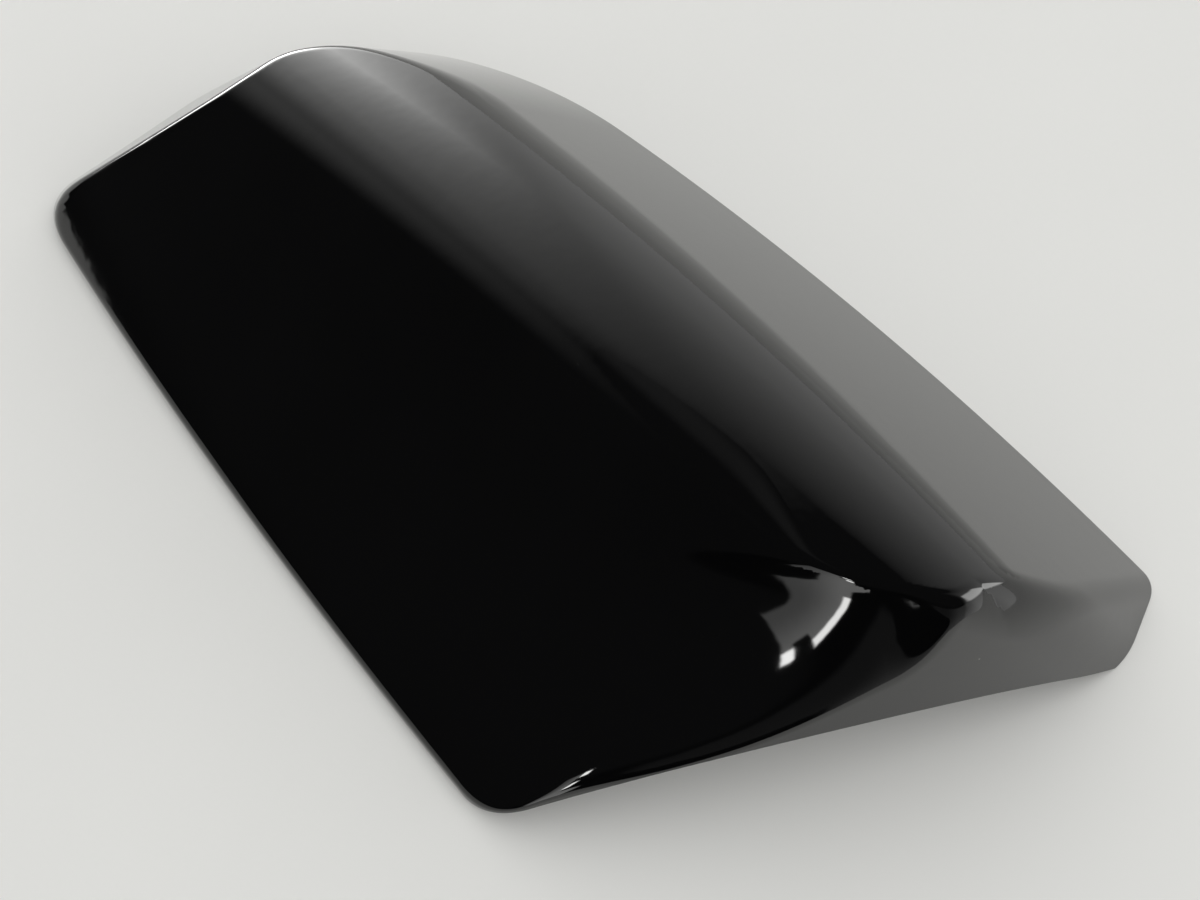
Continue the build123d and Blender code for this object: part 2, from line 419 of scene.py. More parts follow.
def eased(value, places, levels):
    """A smooth change from one level to another between two places."""
    share = np.clip((value - places[0]) / (places[1] - places[0]), 0, 1)
    return levels[0] + (levels[1] - levels[0]) * share * share * (3 - 2 * share)


def rounded(one, two, *edges):
    """Two surfaces that meet in a rounded edge.

    Each kind of edge has its radius, its greatest width and how far out the surface is that makes it.
    """
    (a, way_a), (b, way_b) = one, two
    half = np.minimum(np.arccos(np.clip((way_a * way_b).sum(1), -1, 1)) / 2, MOST_HALF_TURN)
    turn = 2 * np.sin(half) * np.tan(half)
    outermost = np.max([gap + 0 * a for _, _, gap in edges], axis=0)
    weights = [np.exp((gap - outermost) / EDGE_BLEND) for _, _, gap in edges]
    width = sum(w * np.clip(radius * turn, 1e-6, widest) for w, (radius, widest, _) in zip(weights, edges))
    width = width / sum(weights)
    share = np.clip(0.5 + (a - b) / (2 * width), 0, 1)
    gap = b + (a - b) * share + width * share * (1 - share)
    mix = (share * share * (3 - 2 * share))[:, None]
    return gap, unit(way_a * mix + way_b * (1 - mix))


def outside(p, inset):
    """Distance outside the cover's form drawn in by an inset, with all its edges rounded."""
    sizes = bpy.context.scene.cover_sizes
    face, rear, side, front, inner, corner = [(gap + inset, way) for gap, way in (
        *roof(p), band(p), front_lip(p), inner_wall(p), facet(p))]
    fine = (sizes.crease_round / MM, sizes.crease_width / MM)
    crisp = sizes.inner_crease / MM
    inner = rounded(inner, corner, (sizes.facet_round / MM, WIDE, 0))
    rim = rounded(side, front, (sizes.outer_corner / MM, NARROW, 0))
    plan = eased(p[:, 1], PLAN_FADE_Y, (sizes.front_corner / MM, sizes.rear_corner / MM))
    sides = rounded(rim, inner, (plan, NARROW, 0))
    up_cheek = p @ CHEEK_WAY
    cheek = eased(up_cheek, CHEEK_RUN, CHEEK_ROUND) - eased(up_cheek, CHEEK_END, CHEEK_LOSS)
    cheek = cheek * eased(p[:, 2], CHEEK_FOOT, CHEEK_SHARE) * eased(up_cheek, CHEEK_TOP, CHEEK_LAST)
    ridge = eased(p[:, 0], RIDGE_FADE_X, (RIDGE_FRONT_RADIUS, crisp))
    outer_half = rounded(rounded(rear, face, (ridge, WIDE, 0)), rim, (*fine, 0))[0]
    skin = rounded(face, sides, (*fine, rim[0]), (cheek, WIDE, inner[0]))
    inner_half = rounded(rear, skin, (ridge, WIDE, face[0]), (*fine, rim[0]), (crisp, WIDE, inner[0]))[0]
    share = eased(p[:, 0], HALVES_X, (0, 1))
    return outer_half * (1 - share) + inner_half * share


def reach_out(origins, ways, inset):
    """Points where rays from inside leave the form."""
    near, far = np.zeros(len(origins)), np.full(len(origins), RAY_LENGTH)
    for _ in range(RAY_HALVINGS):
        middle = (near + far) / 2
        is_out = outside(origins + ways * middle[:, None], inset) > 0
        near, far = np.where(is_out, near, middle), np.where(is_out, middle, far)
    return origins + ways * near[:, None]


def facing(p, inset):
    """The way out of the form at points on it."""
    steps = FACING_STEP * np.eye(3)
    slope = [outside(p + step, inset) - outside(p - step, inset) for step in steps]
    return unit(np.stack(slope, axis=1))


def rim_height(p):
    """Height of the rim under points of the wall: zero, but for the arch at the inner end."""
    along, outward, _ = inner_chord()
    run = (p[..., :2] - INNER_FRONT) @ along
    depth = (p[..., :2] - INNER_FRONT) @ outward
    half = (ARCH_END - ARCH_START) / 2
    radius = (half ** 2 + ARCH_HEIGHT ** 2) / (2 * ARCH_HEIGHT)
    height = np.sqrt(np.maximum(radius ** 2 - (run - ARCH_START - half) ** 2, 0)) - radius + ARCH_HEIGHT
    return np.where(depth > -ARCH_DEPTH, np.maximum(height, 0), 0)


# The skin's mesh.


def stations():
    """Foot and bearing of each upright profile, round the rim from the front of the outer pole."""
    ridge = np.linspace(OUTER_POLE_X, INNER_POLE_X, RIDGE_STATIONS)
    feet, bearings = [], []

    def spread(pole_x, first, count):
        """Bearings round a pole that space the rim evenly."""
        dense = np.linspace(first, first + pi, POLE_SAMPLES)
        ways = np.column_stack((np.cos(dense), np.sin(dense), np.zeros_like(dense)))
        feet_here = np.tile((pole_x, RIDGE_Y, 0.0), (len(dense), 1))
        rim = reach_out(feet_here, ways, 0)
        run = np.append(0, np.cumsum(np.linalg.norm(np.diff(rim, axis=0), axis=1)))
        return np.interp(np.linspace(0, run[-1], count + 2)[1:-1], run, dense)

    feet += [(x, RIDGE_Y, 0.0) for x in ridge]
    bearings += [-pi / 2] * len(ridge)
    inner = spread(INNER_POLE_X, -pi / 2, INNER_STATIONS)
    feet += [(INNER_POLE_X, RIDGE_Y, 0.0)] * len(inner)
    bearings += list(inner)
    feet += [(x, RIDGE_Y, 0.0) for x in ridge[::-1]]
    bearings += [pi / 2] * len(ridge)
    outer = spread(OUTER_POLE_X, pi / 2, OUTER_STATIONS)
    feet += [(OUTER_POLE_X, RIDGE_Y, 0.0)] * len(outer)
    bearings += list(outer)
    return np.array(feet), np.array(bearings)


def profiles(feet, bearings, inset, bevel, length):
    """Points of each profile from just above the rim up to the ridge, and the rim's own points."""
    count = len(feet)
    rise = np.linspace(0, pi / 2, PROFILE_SAMPLES)
    ways = np.stack((np.outer(np.cos(bearings), np.cos(rise)), np.outer(np.sin(bearings), np.cos(rise)),
                     np.tile(np.sin(rise), (count, 1))), axis=2).reshape(-1, 3)
    origins = np.repeat(feet, PROFILE_SAMPLES, axis=0)
    points = reach_out(origins, ways, inset)
    normals = facing(points, inset).reshape(count, PROFILE_SAMPLES, 3)
    points = points.reshape(count, PROFILE_SAMPLES, 3)
    steps = np.linalg.norm(np.diff(points, axis=1), axis=2)
    turns = np.linalg.norm(np.diff(normals, axis=1), axis=2)
    run = np.concatenate((np.zeros((count, 1)), np.cumsum(steps + TURN_WEIGHT * turns, axis=1)), axis=1)
    over = points[:, :, 2] - rim_height(points)
    lines, rims = [], []
    for k in range(count):
        start = np.interp(bevel, over[k], run[k])
        base = np.interp(0.0, over[k], run[k])
        marks = np.linspace(start, run[k, -1], length)
        lines.append(np.column_stack([np.interp(marks, run[k], points[k, :, i]) for i in range(3)]))
        rims.append([np.interp(base, run[k], points[k, :, i]) for i in range(3)])
    return np.array(lines), np.array(rims)


def on_surface(points, inset):
    """Points settled on the form along its own facing."""
    for _ in range(2):
        points = points - facing(points, inset) * outside(points, inset)[:, None]
    return points


class MeshSheet:
    """Collects the vertices and faces of a mesh in millimetres."""

    def __init__(self):
        self.points, self.normals, self.faces, self.slots = [], [], [], []

    def add(self, points, normals):
        """Adds vertices and gives their numbers."""
        first = sum(len(v) for v in self.points)
        self.points.append(np.asarray(points, float))
        self.normals.append(np.asarray(normals, float))
        return np.arange(first, first + len(points))

    def loop(self, one, two, slot):
        """Faces between two closed rows of vertices."""
        for a, b, c, d in zip(one, np.roll(one, -1), np.roll(two, -1), two):
            corners = list(dict.fromkeys((int(a), int(b), int(c), int(d))))
            if len(corners) > 2:
                self.faces.append(corners)
                self.slots.append(slot)

    def mesh(self, name, materials):
        """The finished mesh in metres, with its own normals."""
        data = bpy.data.meshes.new(name)
        data.from_pydata((np.concatenate(self.points) * MM).tolist(), [], self.faces)
        for material in materials:
            data.materials.append(material)
        data.polygons.foreach_set("material_index", self.slots)
        data.polygons.foreach_set("use_smooth", [True] * len(self.faces))
        data.validate()
        data.normals_split_custom_set_from_vertices(unit(np.concatenate(self.normals)).tolist())
        data.update()
        return data


def skin_rows(sheet, lines, inset, flip):
    """Adds one skin's rows to a sheet, from the rim up to the ridge, and gives the rows' vertex numbers."""
    count, length, _ = lines.shape
    below = on_surface(lines[:, :-1].reshape(-1, 3), inset)
    numbers = sheet.add(below, facing(below, inset) * flip).reshape(count, length - 1)
    top = on_surface(lines[:RIDGE_STATIONS, -1], inset)
    ridge = sheet.add(top, facing(top, inset) * flip)
    inner = np.full(INNER_STATIONS, ridge[-1])
    outer = np.full(OUTER_STATIONS, ridge[0])
    rows = [numbers[:, j] for j in range(length - 1)]
    rows.append(np.concatenate((ridge, inner, ridge[::-1], outer)))
    return rows


# The finishes.


class Signal:
    """A socket's value, so that shader maths reads as plain sums."""

    def __init__(self, net, socket):
        self.net, self.socket = net, socket

    def _math(self, operation, one, two):
        """One step of maths on two values."""
        return self.net.node("ShaderNodeMath", {"operation": operation}, {0: one, 1: two})

    def __add__(self, other):
        return self._math("ADD", self, other)

    def __radd__(self, other):
        return self._math("ADD", other, self)

    def __sub__(self, other):
        return self._math("SUBTRACT", self, other)

    def __rsub__(self, other):
        return self._math("SUBTRACT", other, self)

    def __mul__(self, other):
        return self._math("MULTIPLY", self, other)

    def __rmul__(self, other):
        return self._math("MULTIPLY", other, self)

    def __truediv__(self, other):
        return self._math("DIVIDE", self, other)

    def __pow__(self, other):
        return self._math("POWER", self, other)

    def __rpow__(self, other):
        return self._math("POWER", other, self)

    def angle_from(self, other):
        """Angle whose tangent is this over the other, all the way round."""
        return self._math("ARCTAN2", self, other)

    def angle_up(self):
        """Angle whose sine this is."""
        return self._math("ARCSINE", self, 0.0)

    def clamped(self):
        """Held between 0 and 1."""
        return self.net.node("ShaderNodeClamp", {}, {"Value": self})

    def within(self, low, high):
        """Rises smoothly from 0 at low to 1 at high."""
        return self.net.node("ShaderNodeMapRange", {"interpolation_type": "SMOOTHSTEP"},
                             {"Value": self, "From Min": low, "From Max": high})

    def between(self, ends, soft):
        """One between two places and nothing beyond them, with soft ends."""
        low, high = ends
        return self.within(low - soft, low + soft) * (1 - self.within(high - soft, high + soft))


class Net:
    """A shader's node tree while it is built."""

    def __init__(self, tree):
        self.tree = tree
        tree.nodes.clear()

    def node(self, kind, settings, sockets, output=0):
        """Adds a node, sets it up, fills its sockets and gives one of its outputs."""
        made = self.tree.nodes.new(kind)
        for name, value in settings.items():
            setattr(made, name, value)
        for key, value in sockets.items():
            if isinstance(value, Signal):
                self.tree.links.new(value.socket, made.inputs[key])
            else:
                made.inputs[key].default_value = value
        return Signal(self, made.outputs[output]) if len(made.outputs) else made

    def noise(self, place, scale, detail):
        """A soft noise over a place."""
        return self.node("ShaderNodeTexNoise", {}, {"Vector": place, "Scale": scale, "Detail": detail})

    def blend(self, factor, one, two):
        """One colour that turns into another."""
        return self.node("ShaderNodeMix", {"data_type": "RGBA"}, {"Factor": factor, 6: one, 7: two}, 2)

    def clouded(self, noise, colour, share):
        """A colour that a noise darkens to a share of itself."""
        darker = (*(share * v for v in colour), 1)
        return self.blend(noise.within(*CLOUD_RANGE), darker, (*colour, 1))

    def coat(self, sockets):
        """Ends a material's tree with its surface."""
        shader = self.node("ShaderNodeBsdfPrincipled", {}, sockets)
        self.node("ShaderNodeOutputMaterial", {}, {"Surface": shader})


def new_material(name):
    """An empty material, and the net of its nodes."""
    material = bpy.data.materials.new(name)
    material.use_nodes = True
    return material, Net(material.node_tree)


def polished_black():
    """Polished black with a trace of flow in its gloss and a little dust."""
    finish = bpy.context.scene.cover_finish
    material, net = new_material("polished_black")
    place = net.node("ShaderNodeTexCoord", {}, {}, "Object")
    flow = net.noise(place, scale=22.0, detail=2.0)
    peel = net.noise(place, scale=260.0, detail=1.0)
    cells = net.node("ShaderNodeTexVoronoi", {}, {"Vector": place, "Scale": 120.0}, "Distance")
    patches = net.noise(place, scale=41.0, detail=3.0)
    dust = (1 - cells.within(*DUST_SIZE)) * patches.within(*DUST_PATCHES)
    deep = net.clouded(flow, tuple(finish.gloss_colour), share=0.8)
    colour = net.blend(dust, deep, DUST_COLOUR)
    roughness = finish.gloss_roughness + FLOW_ROUGHNESS * flow + DUST_ROUGHNESS * dust
    bump = net.node("ShaderNodeBump", {}, {"Strength": 0.06, "Distance": 0.0002, "Height": peel})
    net.coat({"Base Color": colour, "Roughness": roughness, "IOR": PLASTIC_IOR, "Normal": bump})
    return material


def moulded_black():
    """The moulded inside: satin black with a fine spark-eroded grain."""
    finish = bpy.context.scene.cover_finish
    material, net = new_material("moulded_black")
    place = net.node("ShaderNodeTexCoord", {}, {}, "Object")
    grain = net.noise(place, scale=1500.0, detail=2.0)
    cloud = net.noise(place, scale=30.0, detail=3.0)
    colour = net.clouded(cloud, tuple(finish.satin_colour), share=0.75)
    roughness = SATIN_ROUGHNESS + GRAIN_ROUGHNESS * grain + CLOUD_ROUGHNESS * cloud
    bump = net.node("ShaderNodeBump", {}, {"Strength": 0.25, "Distance": 0.0001, "Height": grain})
    net.coat({"Base Color": colour, "Roughness": roughness, "IOR": PLASTIC_IOR, "Normal": bump})
    return material


FINISHES = {"polished_black": polished_black, "moulded_black": moulded_black}


def material_named(name):
    """The finish of that name, made when it is first asked for."""
    return bpy.data.materials.get(name) or FINISHES[name]()


def place_piece(name, data):
    """Links a finished mesh as a piece that rides with the cover."""
    piece = bpy.data.objects.new(name, data)
    bpy.context.scene.collection.objects.link(piece)
    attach(piece, "root")
    return piece


# The pieces.


class COVER_OT_shell(bpy.types.Operator):
    """Build the smooth outer and inner skins of the cover and its rim"""
    bl_idname = "mirror_cover.shell"
    bl_label = "Shell"

    def execute(self, context):
        sizes = context.scene.cover_sizes
        wall, bevel = sizes.wall / MM, sizes.rim_bevel / MM
        feet, bearings = stations()
        away = np.column_stack((np.cos(bearings), np.sin(bearings), np.zeros_like(bearings)))
        sheet = MeshSheet()
        outer_lines, outer_rim = profiles(feet, bearings, 0.0, bevel, OUTER_POINTS)
        inner_lines, inner_rim = profiles(feet, bearings, wall, bevel, INNER_POINTS)
        outer_rows = skin_rows(sheet, outer_lines, 0.0, 1)
        inner_rows = skin_rows(sheet, inner_lines, wall, -1)
        down = np.tile((0.0, 0.0, -1.0), (len(feet), 1))
        outer_foot = sheet.add(outer_rim - away * bevel, down)
        inner_foot = sheet.add(inner_rim + away * bevel, down)
        for lower, upper in zip(outer_rows, outer_rows[1:]):
            sheet.loop(lower, upper, 0)
        for lower, upper in zip(inner_rows, inner_rows[1:]):
            sheet.loop(upper, lower, 1)
        sheet.loop(outer_foot, outer_rows[0], 0)
        sheet.loop(inner_foot, outer_foot, 0)
        sheet.loop(inner_rows[0], inner_foot, 1)
        data = sheet.mesh("cover_shell", [material_named(name) for name in FINISHES])
        piece = place_piece("cover_shell", data)
        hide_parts("mirror_cover")
        return {"FINISHED"}


class COVER_OT_ribs(bpy.types.Operator):
    """Build the ribs across the inside of the cover"""
    bl_idname = "mirror_cover.ribs"
    bl_label = "Ribs"

    def execute(self, context):
        sizes, fit = context.scene.cover_sizes, context.scene.fitting_sizes
        wall, foot = sizes.wall / MM, fit.rib_foot / MM
        half = fit.rib_thickness / MM / 2
        rise = np.linspace(0, pi, RIB_SAMPLES)
        ways = np.column_stack((np.zeros_like(rise), np.cos(rise), np.sin(rise)))
        vertices, faces = [], []
        for x in RIB_X:
            feet = np.tile((x, RIDGE_Y, 0.0), (len(rise), 1))
            edges = []
            for inset in (wall / 2, wall + fit.rib_height / MM):
                line = reach_out(feet, ways, inset)
                line = line[line[:, 2] >= foot - RIB_MARGIN]
                run = np.linspace(0, 1, len(line))
                kept = np.flatnonzero(line[:, 2] >= foot)
                marks = np.linspace(run[kept[0]], run[kept[-1]], RIB_POINTS)
                edges.append(np.column_stack([np.interp(marks, run, line[:, i]) for i in range(3)]))
                edges[-1][0, 2] = edges[-1][-1, 2] = foot
            ring = np.concatenate((edges[0], edges[1][::-1]))
            count = len(ring)
            near = sum(len(v) for v in vertices)
            far = near + count
            for side in (-half, half):
                vertices.append(ring + np.array((side, 0, 0)))
            for k in range(count):
                j = (k + 1) % count
                faces.append((near + k, near + j, far + j, far + k))
            for k in range(RIB_POINTS - 1):
                a, b, c, d = k, k + 1, count - 2 - k, count - 1 - k
                faces.append((near + a, near + d, near + c, near + b))
                faces.append((far + a, far + b, far + c, far + d))
        data = bpy.data.meshes.new("cover_ribs")
        data.from_pydata((np.concatenate(vertices) * MM).tolist(), [], faces)
        data.materials.append(material_named("moulded_black"))
        data.validate()
        place_piece("cover_ribs", data)
        return {"FINISHED"}


def repeat_on_points(name, points, settings, build):
    """Runs a node tree that repeats a fitting on points, and gives the plain mesh that it makes."""
    holder = bpy.data.meshes.new(name)
    holder.from_pydata([place for place, _ in points], [], [])
    for label in points[0][1]:
        values = holder.attributes.new(label, "FLOAT", "POINT")
        values.data.foreach_set("value", [given[label] for _, given in points])
    piece = bpy.data.objects.new(name, holder)
    bpy.context.scene.collection.objects.link(piece)
    tree = bpy.data.node_groups.new(name, "GeometryNodeTree")
    tree.interface.new_socket("Geometry", in_out="INPUT", socket_type="NodeSocketGeometry")
    tree.interface.new_socket("Geometry", in_out="OUTPUT", socket_type="NodeSocketGeometry")
    sockets = {label: tree.interface.new_socket(label, in_out="INPUT", socket_type="NodeSocketFloat")
               for label in settings}
    build(TreeNet(tree))
    modifier = piece.modifiers.new(name, "NODES")
    modifier.node_group = tree
    for label, value in settings.items():
        modifier[sockets[label].identifier] = value
    bpy.context.view_layer.update()
    graph = bpy.context.evaluated_depsgraph_get()
    data = bpy.data.meshes.new_from_object(piece.evaluated_get(graph))
    bpy.data.objects.remove(piece)
    data.name = name
    return data


class TreeNet(Net):
    """A Geometry Nodes tree while it is built."""

    def __init__(self, tree):
        super().__init__(tree)
        self.given = tree.nodes.new("NodeGroupInput")

    def size(self, label):
        """One of the tree's named sizes."""
        return Signal(self, self.given.outputs[label])

    def held(self, label):
        """A number held by each of the given points."""
        return self.node("GeometryNodeInputNamedAttribute", {"data_type": "FLOAT"}, {"Name": label})

    def vector(self, x, y, z):
        """A vector of three numbers."""
        return self.node("ShaderNodeCombineXYZ", {}, {"X": x, "Y": y, "Z": z})

    def moved(self, shape, x, y, z):
        """A shape shifted by a vector."""
        shift = self.vector(x, y, z)
        return self.node("GeometryNodeTransform", {}, {"Geometry": shape, "Translation": shift})

    def spread(self, shape, scale, spin):
        """A shape repeated on the given points."""
        points = Signal(self, self.given.outputs["Geometry"])
        return self.node("GeometryNodeInstanceOnPoints", {},
                         {"Points": points, "Instance": shape, "Rotation": spin, "Scale": scale})

    def end(self, shapes, material):
        """Joins the repeated shapes, makes them solid meshes and gives them their finish."""
        joined = self.tree.nodes.new("GeometryNodeJoinGeometry")
        for shape in shapes:
            self.tree.links.new(shape.socket, joined.inputs[0])
        solid = self.node("GeometryNodeRealizeInstances", {}, {"Geometry": Signal(self, joined.outputs[0])})
        coated = self.node("GeometryNodeSetMaterial", {}, {"Geometry": solid, "Material": material})
        out = self.tree.nodes.new("NodeGroupOutput")
        self.tree.links.new(coated.socket, out.inputs["Geometry"])


def wall_above(x, y, inset):
    """Height at which an upright line meets the wall."""
    foot = np.array([(x, y, 0.0)])
    return reach_out(foot, np.array([(0.0, 0.0, 1.0)]), inset)[0, 2]


class COVER_OT_hooks(bpy.types.Operator):
    """Build the hooks inside the front and rear rims"""
    bl_idname = "mirror_cover.hooks"
    bl_label = "Hooks"

    def execute(self, context):
        sizes, fit = context.scene.cover_sizes, context.scene.fitting_sizes
        points = []
        rows = ((FRONT_HOOK_X, front_edge, -1, pi), (REAR_HOOK_X, rear_edge, 1, 0.0))
        for places, edge, side, turn in rows:
            for x in places:
                y = edge(x) - side * HOOK_INSET
                drop = wall_above(x, y, sizes.wall / MM / 2) * MM - fit.hook_foot
                points.append(((x * MM, y * MM, fit.hook_foot), {"drop": drop, "turn": turn}))

        def build(net):
            width, thick = net.size("Width"), net.size("Thickness")
            tall, far = net.size("Barb height"), net.size("Barb reach")
            tab = net.node("GeometryNodeMeshCube", {}, {"Size": net.vector(width, thick, 1.0)})
            barb = net.node("GeometryNodeMeshCube", {}, {"Size": net.vector(width, far, tall)})
            barb = net.moved(barb, 0.0, 0.5 * thick + 0.5 * far, 0.5 * tall)
            place = net.node("GeometryNodeInputPosition", {}, {})
            x, z = [net.node("ShaderNodeSeparateXYZ", {}, {"Vector": place}, axis) for axis in "XZ"]
            tip = net.node("FunctionNodeCompare", {"data_type": "FLOAT", "operation": "LESS_THAN"},
                           {"A": z, "B": 0.5 * tall})
            slim = net.vector(x, BARB_TIP * thick, z)
            barb = net.node("GeometryNodeSetPosition", {},
                            {"Geometry": barb, "Selection": tip, "Position": slim})
            spin = net.vector(0.0, 0.0, net.held("turn"))
            tabs = net.spread(net.moved(tab, 0.0, 0.0, 0.5), net.vector(1.0, 1.0, net.held("drop")), spin)
            barbs = net.spread(barb, net.vector(1.0, 1.0, 1.0), spin)
            net.end((tabs, barbs), material_named("moulded_black"))

        data = repeat_on_points("cover_hooks", points, {
            "Width": fit.hook_width, "Thickness": fit.hook_thickness, "Barb height": fit.barb_height,
            "Barb reach": fit.barb_reach}, build)
        place_piece("cover_hooks", data)
        return {"FINISHED"}


class COVER_OT_pins(bpy.types.Operator):
    """Build the locating pins and the bosses that carry them"""
    bl_idname = "mirror_cover.pins"
    bl_label = "Pins"

    def execute(self, context):
        sizes, fit = context.scene.cover_sizes, context.scene.fitting_sizes
        boss_foot = fit.pin_foot + fit.pin_length
        points = []
        for x in PIN_X:
            top = wall_above(x, RIDGE_Y, sizes.wall / MM / 2) * MM
            pin = {"radius": fit.pin_radius, "drop": fit.pin_length}
            boss = {"radius": fit.boss_radius, "drop": top - boss_foot}
            points.append(((x * MM, RIDGE_Y * MM, fit.pin_foot), pin))
            points.append(((x * MM, RIDGE_Y * MM, boss_foot), boss))

        def build(net):
            post = net.node("GeometryNodeMeshCylinder", {},
                            {"Vertices": POST_SIDES, "Radius": 1.0, "Depth": 1.0})
            post = net.node("GeometryNodeSetShadeSmooth", {"domain": "FACE"}, {
                "Geometry": post, "Selection": Signal(net, post.socket.node.outputs["Side"])})
            radius = net.held("radius")
            scale = net.vector(radius, radius, net.held("drop"))
            lifted = net.moved(post, 0.0, 0.0, net.size("Lift"))
            posts = net.spread(lifted, scale, net.vector(0.0, 0.0, 0.0))
            net.end((posts,), material_named("moulded_black"))

        place_piece("cover_pins", repeat_on_points("cover_pins", points, {"Lift": 0.5}, build))
        return {"FINISHED"}


class COVER_OT_stage(bpy.types.Operator):
    """Set out the pale table, the room, the lamp and the camera"""
    bl_idname = "mirror_cover.stage"
    bl_label = "Stage"

    def execute(self, context):
        scene = context.scene
        finish = scene.cover_finish
        self.table(scene, finish)
        self.backdrop(scene, finish)
        self.lamp(scene)
        self.camera(scene)
        scene.view_settings.view_transform = "Standard"
        return {"FINISHED"}

    def table(self, scene, finish):
        """A wide pale table with a faint mottle, whose near part the gloss does not mirror."""
        material, net = new_material("pale_table")
        place = net.node("ShaderNodeTexCoord", {}, {}, "Object")
        mottle = net.noise(place, scale=9.0, detail=3.0)
        colour = net.clouded(mottle, tuple(finish.table_colour), share=0.985)
        net.coat({"Base Color": colour, "Roughness": 0.7, "Specular IOR Level": 0.2})
        parts = (("table", -TABLE_NEAR, TABLE_REACH, True),
                 ("near_table", -TABLE_REACH, -TABLE_NEAR, False))
        for name, first, last, mirrored in parts:
            corners = [i * TABLE_REACH * TABLE_ALONG + j * TABLE_AWAY
                       for i, j in ((1, first), (1, last), (-1, last), (-1, first))]
            data = bpy.data.meshes.new(name)
            data.from_pydata(corners, [], [(0, 1, 2, 3)])
            data.materials.append(material)
            table = bpy.data.objects.new(name, data)
            table.visible_glossy = mirrored
            scene.collection.objects.link(table)

    def backdrop(self, scene, finish):
        """The room that the gloss mirrors, a plain dome that lights the rest, and a pale background."""
        world = bpy.data.worlds.new("room")
        world.use_nodes = True
        net = Net(world.node_tree)
        way = net.node("ShaderNodeTexCoord", {}, {}, "Generated")
        x, y, z = [net.node("ShaderNodeSeparateXYZ", {}, {"Vector": way}, axis) for axis in "XYZ"]
        turn, tilt = y.angle_from(x) * DEGREES, z.angle_up() * DEGREES
        room = HAZE_LIGHT * z.within(*HAZE_STARTS) + finish.backdrop * self.wall(x, y, z)
        room = room + self.window(x, y, z) + self.panel(turn, tilt) + self.low_lights(turn, tilt)
        lean_x, lean_y, lean_z = DOME_LEAN
        dome = DOME_LIGHT + lean_y * y + lean_x * x + lean_z * z
        seen = net.node("ShaderNodeLightPath", {}, {}, "Is Camera Ray")
        mirrored = net.node("ShaderNodeLightPath", {}, {}, "Is Glossy Ray")
        light = mirrored * room + (1 - mirrored) * (1 - seen) * dome + BACKGROUND_LIGHT * seen
        colour = net.node("ShaderNodeBackground", {}, {"Color": ROOM_COLOUR, "Strength": light})
        net.node("ShaderNodeOutputWorld", {}, {"Surface": colour})
        scene.world = world

    def wall(self, x, y, z):
        """A pale wall behind the table that darkens upwards."""
        behind = (x * WALL_WAY[0] + y * WALL_WAY[1]).within(*WALL_STARTS)
        return behind * ((WALL_TOP - z) / WALL_FADE).clamped() ** WALL_POWER

    def window(self, x, y, z):
        """A window past the outer end that fades upwards, and a bright sill under it."""
        bearing = y.angle_from(0 - x)
        fall = (WINDOW_FALL ** (z - WINDOW_TOP)).clamped()
        pane = WINDOW_LIGHT * fall * bearing.within(*WINDOW_STARTS) * (1 - bearing.within(*WINDOW_STOPS))
        sill = SILL_LIGHT * bearing.within(*SILL_STARTS) * (1 - bearing.within(*SILL_STOPS))
        return pane + sill * z.between(SILL_HEIGHTS, SILL_SOFT)

    def panel(self, turn, tilt):
        """A grey panel in front, set over to one side low down, with two bright tubes and a gap."""
        left = PANEL_LEFT_STEP * (1 - tilt.within(*PANEL_LEFT_TILTS)) + PANEL_LEFT
        right = PANEL_RIGHT_STEP * (1 - tilt.within(*PANEL_RIGHT_TILTS)) + PANEL_RIGHT
        card = (turn - left).within(-PANEL_LEFT_SOFT, PANEL_LEFT_SOFT)
        card = card * (1 - (turn - right).within(-PANEL_SOFT, PANEL_SOFT))
        card = card * tilt.between(PANEL_TILTS, PANEL_SOFT)
        gap = turn.between(GAP_TURNS, GAP_SIDE_SOFT) * tilt.between(GAP_TILTS, GAP_SOFT)
        card = card * (1 - gap) * (PANEL_LIGHT + PANEL_GAIN * turn.within(*PANEL_GAIN_TURNS))
        tube = turn.between(TUBE_TURNS, TUBE_SOFT) * tilt.between(TUBE_TILTS, TUBE_SOFT)
        upper_tube = turn.between(UPPER_TUBE_TURNS, UPPER_TUBE_SOFT)
        upper_tube = upper_tube * tilt.between(UPPER_TUBE_TILTS, UPPER_TUBE_SOFT)
        return card + TUBE_LIGHT * tube + UPPER_TUBE_LIGHT * upper_tube

    def low_lights(self, turn, tilt):
        """A small lamp past the inner end, and a dim grey floor whose edge slants."""
        side_soft, height_soft = SMALL_LAMP_SOFT
        lamp = turn.between(SMALL_LAMP_TURNS, side_soft) * tilt.between(SMALL_LAMP_TILTS, height_soft)
        edge = tilt + FLOOR_SLANT * turn + FLOOR_EDGE + FLOOR_STEP * turn.within(*FLOOR_STEP_TURNS)
        floor = edge.within(-FLOOR_SOFT, FLOOR_SOFT) * (1 - tilt.within(*FLOOR_TOP))
        floor = floor * turn.within(*FLOOR_STARTS) * (1 - turn.within(*FLOOR_STOPS))
        shade = FLOOR_LIGHT + FLOOR_GAIN * turn.within(*FLOOR_GAIN_TURNS)
        return SMALL_LAMP_LIGHT * lamp + floor * shade

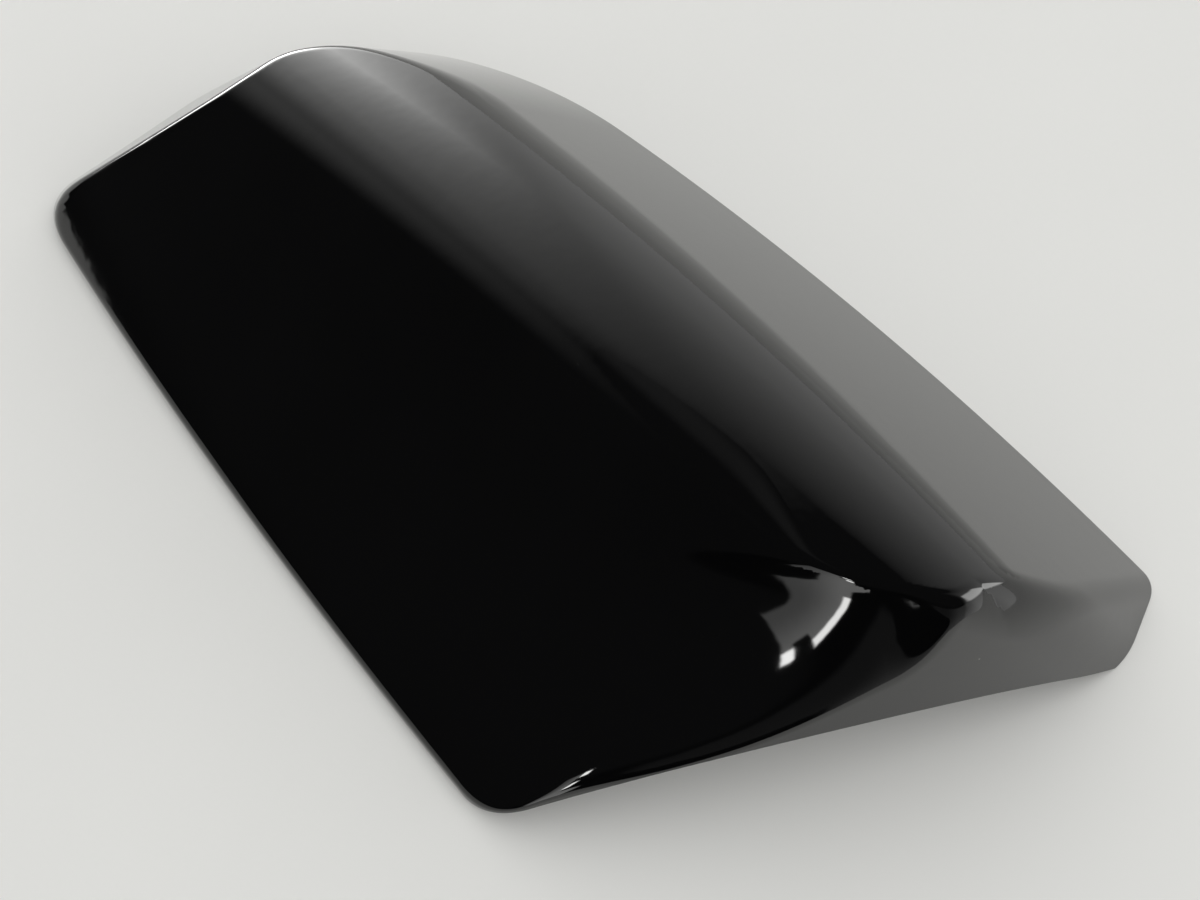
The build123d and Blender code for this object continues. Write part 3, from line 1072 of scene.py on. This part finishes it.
    def lamp(self, scene):
        """One broad weak lamp, above and behind, that deepens the shadow in front of the cover."""
        light = bpy.data.lights.new("back_lamp", "SUN")
        light.energy = LAMP_STRENGTH
        light.angle = LAMP_SPREAD
        holder = bpy.data.objects.new("back_lamp", light)
        holder.rotation_euler = LAMP_WAY.to_track_quat("Z", "Y").to_euler()
        holder.visible_glossy = False
        scene.collection.objects.link(holder)

    def camera(self, scene):
        """A close camera that looks down on the ridge from the inner end."""
        lens = bpy.data.cameras.new("camera")
        lens.lens = CAMERA_LENS
        lens.sensor_width = CAMERA_SENSOR
        lens.clip_start = CAMERA_NEAREST * MM
        holder = bpy.data.objects.new("camera", lens)
        holder.location = CAMERA_PLACE * MM
        look = CAMERA_TARGET * MM - holder.location
        holder.rotation_euler = look.to_track_quat("-Z", "Y").to_euler()
        scene.collection.objects.link(holder)
        scene.camera = holder


class COVER_PT_panel(bpy.types.Panel):
    """Lists the cover's pieces and sizes"""
    bl_label = "Mirror Cover"
    bl_idname = "COVER_PT_panel"
    bl_space_type = "VIEW_3D"
    bl_region_type = "UI"
    bl_category = "Mirror Cover"

    def draw(self, context):
        for operator in OPERATORS:
            self.layout.operator(operator.bl_idname)
        for group in (context.scene.cover_sizes, context.scene.fitting_sizes, context.scene.cover_finish):
            for name in group.__annotations__:
                self.layout.prop(group, name)


OPERATORS = (COVER_OT_shell, COVER_OT_ribs, COVER_OT_hooks, COVER_OT_pins, COVER_OT_stage)
GROUPS = {"cover_sizes": CoverSizes, "fitting_sizes": FittingSizes, "cover_finish": CoverFinish}


def register():
    """Registers the sizes, the operators and the panel."""
    for name, group in GROUPS.items():
        bpy.utils.register_class(group)
        setattr(bpy.types.Scene, name, bpy.props.PointerProperty(type=group))
    for item in (*OPERATORS, COVER_PT_panel):
        bpy.utils.register_class(item)


def unregister():
    """Takes them away again."""
    for item in (COVER_PT_panel, *reversed(OPERATORS)):
        bpy.utils.unregister_class(item)
    for name, group in reversed(GROUPS.items()):
        delattr(bpy.types.Scene, name)
        bpy.utils.unregister_class(group)


def main():
    """Builds the cover and its stage."""
    register()
    bpy.ops.mirror_cover.shell()
    bpy.ops.mirror_cover.ribs()
    bpy.ops.mirror_cover.hooks()
    bpy.ops.mirror_cover.pins()
    bpy.ops.mirror_cover.stage()


if __name__ == "__main__":
    main()
